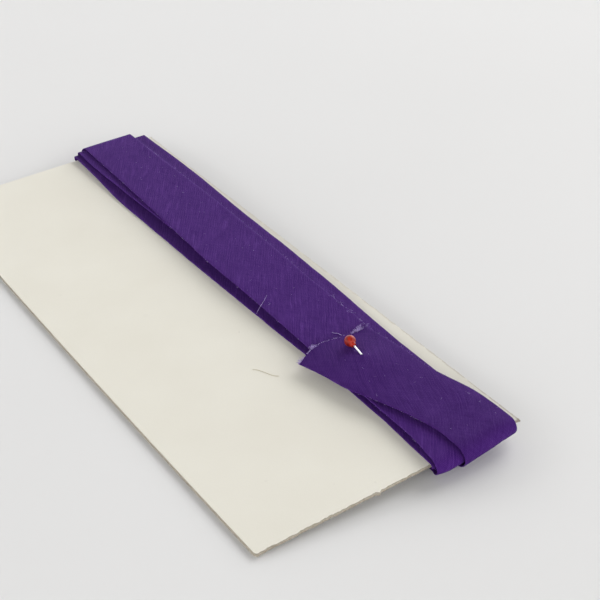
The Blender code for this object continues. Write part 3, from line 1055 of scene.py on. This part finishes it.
def tape_edge_fibres(rng):
    """Return the fuzz on the folded edges that the light catches."""
    fibres = []
    for _ in range(90):
        row = rng.uniform(2.0, END_LAST)
        share, out = rng.choice(((0.0, -1.0), (1.0, 1.0)))
        place = end_top_point(row, share, 0.25 * MM)
        fibres.append((place, side_aim(rng, out), rng.uniform(0.25, 0.8) * MM))
    for _ in range(150):
        way = LAST_TURN + rng.uniform(0.02, 0.98)
        column, out = rng.choice(((1, -1.0), (2, 1.0)))
        x = read_rows(TAPE_ROWS, column, way) * MM
        y = (way - LAST_TURN) * CARD_LENGTH
        place = Vector((x, y, last_turn_top(y) - 0.12 * MM))
        fibres.append((place, side_aim(rng, out), rng.uniform(0.25, 0.7) * MM))
    for _ in range(35):
        y = rng.uniform(64.0, 88.0) * MM
        x = read_rows(TAPE_ROWS, 2, LAST_TURN + y / CARD_LENGTH) * MM - rng.uniform(0.0, 0.6) * MM
        place = Vector((x, y, last_turn_top(y)))
        fibres.append((place, lying_aim(rng, 0.15), rng.uniform(0.5, 1.6) * MM))
    return fibres


def surface_lint(rng):
    """Return short fibres that lie on the top of the tape."""
    fibres = []
    for _ in range(22):
        row = rng.uniform(0.4, END_LAST - 0.1)
        place = end_top_point(row, rng.uniform(0.04, 0.96), END_THICKNESS)
        fibres.append((place, lying_aim(rng, 0.12), rng.uniform(0.25, 0.9) * MM))
    for _ in range(45):
        y = rng.uniform(64.0, 236.0) * MM
        way = LAST_TURN + y / CARD_LENGTH
        share = rng.uniform(0.04, 0.96)
        x = mix(read_rows(TAPE_ROWS, 1, way), read_rows(TAPE_ROWS, 2, way), share) * MM
        place = Vector((x, y, last_turn_top(y)))
        fibres.append((place, lying_aim(rng, 0.12), rng.uniform(0.25, 0.9) * MM))
    return fibres


def make_strand(name, points, radius, material, slot):
    """Make one loose thread or hair as a fine tube through a few points in mm."""
    steps = 6
    sides = 6
    last = (len(points) - 1) * steps
    rows = [(float(number), *point) for number, point in enumerate(points)]
    path = []
    for i in range(last + 1):
        path.append(Vector([read_rows(rows, column, i / steps) * MM for column in (1, 2, 3)]))
    bm = bmesh.new()
    rings = []
    for i, centre in enumerate(path):
        turn = (path[min(i + 1, last)] - path[max(i - 1, 0)]).to_track_quat("Z", "Y")
        fine = radius * (0.35 if i in (0, last) else 1.0)
        rings.append([bm.verts.new(centre + turn @ Vector((x, y, 0.0))) for x, y in circle(fine, sides)])
    skin(bm, rings)
    bm.faces.new(rings[0])
    bm.faces.new(rings[-1])
    finish_piece(new_piece(name, finished_mesh(bm, name, material)), slot)


def card_outline():
    """Return the card's outline with how rough and how torn it is at each point."""
    points = []
    corner_steps = 6
    for i in range(corner_steps + 1):
        turn = math.radians(180.0 + 90.0 * i / corner_steps)
        x = CARD_CORNER * (1.0 + math.cos(turn))
        points.append((x, CARD_CORNER * (1.0 + math.sin(turn)), 0.0, 0.0))
    rough_step = 0.5 * MM
    count = round((CARD_WIDTH - CARD_CORNER) / rough_step)
    for i in range(1, count):
        points.append((mix(CARD_CORNER, CARD_WIDTH, i / count), 0.0, 1.0, 0.0))
    for i in range(round(CARD_LENGTH / rough_step)):
        points.append((CARD_WIDTH, i * rough_step, 0.0, 1.0))
    far_steps = 60
    for i in range(far_steps):
        points.append((CARD_WIDTH * (1.0 - i / far_steps), CARD_LENGTH, 0.0, 0.0))
    left_steps = 120
    for i in range(left_steps):
        y = mix(CARD_LENGTH, CARD_CORNER, i / left_steps)
        share = (y - CARD_CORNER) / (CARD_LENGTH - CARD_CORNER)
        points.append((-CARD_BOW * 4.0 * share * (1.0 - share), y, 0.0, 0.0))
    return points


def card_ring(outline, height, inset, ragged):
    """Return the card's outline at a height, drawn in by an inset and roughened."""
    ring = []
    for x, y, rough, torn in outline:
        fine = noise.noise(Vector((x * 1300.0, y * 1300.0, height * 900.0)))
        coarse = noise.noise(Vector((x * 260.0, y * 260.0, 4.0 + height * 200.0)))
        ledge = 0.55 + 0.45 * noise.noise(Vector((0.0, y * 90.0, 9.0)))
        ledge *= mix(1.0, 0.45, clamp(y / LEDGE_LENGTH))
        in_x = inset + ragged * TORN_LEDGE * ledge * torn
        in_x += torn * ROUGHNESS_RIGHT * (0.5 * fine + 0.6 * coarse + 0.4) * mix(0.4, 1.0, ragged)
        middling = noise.noise(Vector((x * 620.0, y * 620.0, 7.0 + height * 500.0)))
        in_y = inset + rough * ROUGHNESS_NEAR * (0.5 * fine + 0.4 * coarse + 0.5 * middling + 0.45)
        in_y -= rough * BURR_LENGTH * math.exp(-(((x - BURR_PLACE) / BURR_WIDTH) ** 2))
        if x >= CARD_WIDTH:
            x -= in_x
        elif x < CARD_CORNER:
            x += inset
        if y < CARD_CORNER:
            y += in_y
        elif y >= CARD_LENGTH:
            y -= inset
        ring.append(Vector((x, y, height)))
    return ring


def make_card(board):
    """Make the card with its cut near edge and its torn right edge."""
    outline = card_outline()
    top = CARD_THICKNESS
    # Columns: height, inset, how far up the torn edge's slope, and rawness of the cut and torn edges.
    levels = (
        (0.0, 0.12 * MM, 0.0, 0.6, 0.4),
        (0.12 * MM, 0.02 * MM, 0.0, 0.8, 0.4),
        (0.45 * top, 0.0, 0.0, 1.0, 0.15),
        (0.72 * top, 0.02 * MM, 0.75, 0.9, 0.15),
        (top - 0.12 * MM, 0.03 * MM, 0.95, 0.45, 0.9),
        (top, 0.14 * MM, 1.0, 0.0, 0.0),
        (top, 0.5 * MM, 1.0, 0.0, 0.0),
    )
    bm = bmesh.new()
    ply = bm.verts.layers.float.new("ply")
    uv = bm.loops.layers.uv.new("board")
    rings = []
    for height, inset, ragged, cut_raw, torn_raw in levels:
        ring = [bm.verts.new(point) for point in card_ring(outline, height, inset, ragged)]
        for vertex, (_, _, _, torn) in zip(ring, outline):
            vertex[ply] = mix(cut_raw, torn_raw, torn)
        rings.append(ring)
    skin(bm, rings)
    cap(bm, rings)
    for face in bm.faces:
        for loop in face.loops:
            loop[uv].uv = loop.vert.co.xy
    mesh = finished_mesh(bm, "card board", board, 35.0)
    for vertex in mesh.vertices:
        vertex.co.z = max(vertex.co.z, 0.0)
    finish_piece(new_piece("card_board", mesh), "card", "card")


def pin_to_frame():
    """Return the pin's placing: its origin in the middle of the head, its z axis to the tip."""
    flat = Vector((*PIN_DIRECTION, 0.0)).normalized()
    along = flat * math.cos(PIN_DIP) + Vector((0.0, 0.0, -math.sin(PIN_DIP)))
    turn = along.to_track_quat("Z", "Y").to_matrix().to_4x4()
    middle = Vector((*HEAD_PLACE, CARD_THICKNESS + HEAD_LIFT))
    return CARD_TO_FRAME @ Matrix.Translation(middle) @ turn


def turned(name, profile, steps, material, slot):
    """Turn a profile of radii and heights about z into a part of the pin."""
    bm = bmesh.new()
    rings = []
    for radius, height in profile:
        points = circle(radius, steps) if radius else [(0.0, 0.0)]
        rings.append([bm.verts.new((x, y, height)) for x, y in points])
    skin(bm, rings)
    mesh = finished_mesh(bm, name, material, 50.0, pin_to_frame())
    finish_piece(new_piece(name, mesh), slot, slot)


def make_pin():
    # Red plastic, worn half dull and a little mottled, and drawn wire with fine marks along it.
    reds = ((0.38, (0.10, 0.005, 0.008)), (0.62, (0.44, 0.026, 0.010)))
    relief = (0.05 * MM, 0.3)
    ball = mottled_material(
        "red ball plastic", 0.42, (0.55, 3.0, 0.6), reds, relief=relief, Specular_IOR_Level=0.25
    )
    greys = ((0.2, (0.74, 0.74, 0.76)), (0.8, (0.92, 0.92, 0.93)))
    relief = (0.004 * MM, 0.2)
    steel = mottled_material(
        "nickelled steel", 0.42, (1.0, 2.0, 0.5), greys, (12.0, 1.2, 12.0), relief, Metallic=1.0
    )
    neck_radius = SHANK_RADIUS + 2.0 * GAP
    neck_end = HEAD_RADIUS * 1.22
    profile = [(0.0, -HEAD_RADIUS)]
    ball_steps = 28
    for i in range(1, ball_steps + 1):
        turn = BALL_TURN * i / ball_steps
        profile.append((HEAD_RADIUS * math.sin(turn), -HEAD_RADIUS * math.cos(turn)))
    for share in (0.35, 0.7, 1.0):
        radius = mix(profile[ball_steps][0], neck_radius, share**0.6)
        profile.append((radius, mix(profile[ball_steps][1], neck_end, share)))
    profile += [
        (SHANK_RADIUS * 1.25, neck_end + 0.1 * MM),
        (SHANK_RADIUS * 1.02, neck_end),
        (0.0, neck_end - GAP),
    ]
    turned("pin_head_ball", profile, 48, ball, "pin_head")
    start = -HEAD_RADIUS * 0.3
    shank = (
        (0.0, start),
        (SHANK_RADIUS, start),
        (SHANK_RADIUS, SHANK_LENGTH - POINT_LENGTH),
        (SHANK_RADIUS * 0.62, SHANK_LENGTH - POINT_LENGTH * 0.45),
        (0.0, SHANK_LENGTH),
    )
    turned("pin_shank_wire", shank, 24, steel, "pin_shank")


CAMERA_PLACE = (-0.18716, -0.33375, 0.25457)
CAMERA_YAW = math.radians(35.193)
CAMERA_PITCH = math.radians(33.345)
CAMERA_ROLL = math.radians(1.162)
FOCAL_PIXELS = 1255.9
IMAGE_PIXELS = 600.0
SENSOR = 36.0

RING_STRENGTH = 2.70  # the pale walls round the table, brighter than the ceiling
RING_TOP = 0.43  # sine of the elevation where the walls end
RING_BLUR = 0.12
RING_SWAY = 0.12  # how much brighter the walls are on the window's side
CEILING_STRENGTH = 0.095
WINDOW_AZIMUTH = math.radians(23.0)
WINDOW_ELEVATION = math.radians(28.3)
WINDOW_DISTANCE = 30.0
WINDOW_SIZE = 20.1
WINDOW_WATTS = 5400.0
TABLE_REACH = 4.0


def make_camera():
    camera = new_piece("camera", bpy.data.cameras.new("camera"))
    camera.location = CAMERA_PLACE
    turn = (
        Matrix.Rotation(-CAMERA_YAW, 3, "Z")
        @ Matrix.Rotation(math.radians(90.0) - CAMERA_PITCH, 3, "X")
        @ Matrix.Rotation(CAMERA_ROLL, 3, "Z")
    )
    camera.rotation_euler = turn.to_euler()
    camera.data.sensor_width = SENSOR
    camera.data.lens = SENSOR * FOCAL_PIXELS / IMAGE_PIXELS
    camera.data.clip_start = 0.01
    camera.data.clip_end = 20.0
    bpy.context.scene.camera = camera


def add_window():
    """Add a large far window, which lights the whole table evenly."""
    flat = math.cos(WINDOW_ELEVATION) * WINDOW_DISTANCE
    height = math.sin(WINDOW_ELEVATION) * WINDOW_DISTANCE
    place = Vector((flat * math.cos(WINDOW_AZIMUTH), flat * math.sin(WINDOW_AZIMUTH), height))
    lamp = bpy.data.lights.new("window", "AREA")
    lamp.shape = "DISK"
    lamp.size = WINDOW_SIZE
    lamp.energy = WINDOW_WATTS
    stand = new_piece("window", lamp)
    stand.location = place
    stand.rotation_euler = (-place).to_track_quat("-Z", "Y").to_euler()


def make_room():
    """Return a world of pale walls all round under a dim ceiling."""
    world = bpy.data.worlds.new("studio")
    world.use_nodes = True
    tree = world.node_tree
    sky = tree.nodes["Background"]
    sky.inputs["Color"].default_value = (1.0, 0.995, 0.99, 1.0)
    toward_x, toward_y, height = parts_of(node(tree, "ShaderNodeTexCoord", "Generated"))
    side = toward_x * math.cos(WINDOW_AZIMUTH) + toward_y * math.sin(WINDOW_AZIMUTH)
    wall = 1.0 - eased((height - RING_TOP) / RING_BLUR)
    connect(wall * (side * RING_SWAY + 1.0) * RING_STRENGTH + CEILING_STRENGTH, sky.inputs["Strength"])
    return world


def make_studio():
    scene = bpy.context.scene
    scene.view_settings.view_transform = "Standard"
    scene.world = make_room()
    add_window()
    bm = bmesh.new()
    bmesh.ops.create_grid(bm, x_segments=1, y_segments=1, size=TABLE_REACH)
    mesh = bpy.data.meshes.new("table top")
    bm.to_mesh(mesh)
    bm.free()
    whites = ((0.2, (0.735, 0.733, 0.728)), (0.8, (0.765, 0.763, 0.760)))
    spots = (0.004, 2.0, 0.5)
    mesh.materials.append(mottled_material("pale table", 0.7, spots, whites, Specular_IOR_Level=0.2))
    new_piece("table_top", mesh)


# Loose fibres in pieces. Columns: name, where they are, radius in mm, curl and its scale.
FIBRE_PIECES = (
    ("cut_end_fray", raw_edge_fibres, 0.048, 3.2, 900.0),
    ("folded_edge_fuzz", tape_edge_fibres, 0.022, 1.0, 700.0),
    ("surface_lint", surface_lint, 0.025, 1.2, 900.0),
)


def main():
    make_camera()
    wound_cotton = cotton_material("purple cotton cut on the bias", 0.17, 0.10, 0.96)
    # The loose end is the same cloth as the winding, made darker as painted shade.
    end_cotton_in_painted_shade = cotton_material("purple cotton of the loose end in painted shade", 0.05, 0.05, 0.84)
    lilacs = ((0.3, (0.23, 0.13, 0.41)), (0.7, (0.50, 0.38, 0.75)))
    lint = mottled_material("pale lilac cotton fibre", 0.9, (0.8, 2.0, 0.5), lilacs, Sheen_Weight=0.3)
    tans = ((0.3, (0.42, 0.33, 0.18)), (0.7, (0.60, 0.52, 0.34)))
    hair = mottled_material("tan fibre", 0.6, (1.2, 2.0, 0.5), tans)
    make_card(board_material())
    make_winding(wound_cotton)
    end = make_end(end_cotton_in_painted_shade)
    make_pin()
    rng = random.Random(SEED)
    tree = fibre_tree()
    for seed, (name, fibres, radius, curl, curl_scale) in enumerate(FIBRE_PIECES, 1):
        values = {"Fibre Radius": radius * MM, "Curl": curl, "Curl Scale": curl_scale}
        values |= {"Seed": float(seed), "Material": lint}
        make_fibres(name, tree, fibres(rng), values)
    top = TIGHT_TOP / MM
    thread = (
        (76.6, 69.9, top),
        (76.7, 68.6, top + 0.3),
        (77.7, 67.6, top + 0.25),
        (77.9, 65.2, top + 0.6),
    )
    make_strand("curled_thread", thread, 0.07 * MM, lint, "binding")
    stray = (
        (70.5, 101.0, top + 0.85),
        (67.4, 98.4, top + 0.85),
        (64.2, 96.2, top + 0.75),
        (61.6, 94.6, top - 0.3),
    )
    make_strand("stray_hair", stray, 0.05 * MM, lint, "binding")
    face = CARD_THICKNESS / MM
    straw = (
        (44.8, 71.3, face + 0.05),
        (46.3, 69.9, face + 0.09),
        (47.6, 67.0, face + 0.08),
        (48.7, 64.5, face + 0.08),
        (50.2, 63.1, face + 0.05),
    )
    make_strand("card_fibre", straw, 0.05 * MM, hair, "card")
    make_studio()


main()
